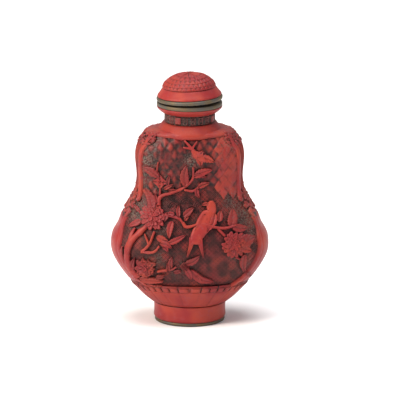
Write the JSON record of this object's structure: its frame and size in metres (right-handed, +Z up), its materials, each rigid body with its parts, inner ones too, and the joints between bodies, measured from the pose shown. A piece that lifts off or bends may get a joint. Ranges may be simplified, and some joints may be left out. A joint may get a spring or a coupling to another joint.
{
  "type": "snuff bottle",
  "caption": "Flattened, waisted snuff bottle in carved red lacquer, with birds and flowers in relief, brass rims at foot and lip, and a domed stopper that rests on the lip.",
  "frame": {"origin": "middle of the underside of the foot rim, on the surface that the bottle stands on", "axes": "+Z up, +X to the right along the width, the front looks along -Y"},
  "size_m": [0.0474, 0.0322, 0.076],
  "materials": {
    "lacquer": "carved cinnabar lacquer, worn satin on the high parts, dark maroon and dusty in the ground",
    "stopper_lacquer": "cinnabar lacquer, satin",
    "foot_brass": "tarnished brass",
    "lip_brass": "tarnished brass",
    "stopper_brass": "tarnished brass"
  },
  "bodies": {
    "root": {"bottle": "lacquer", "foot_rim": "foot_brass", "lip_rim": "lip_brass", "stopper_base": "stopper_brass", "stopper_dome": "stopper_lacquer"}
  },
  "joints": []
}
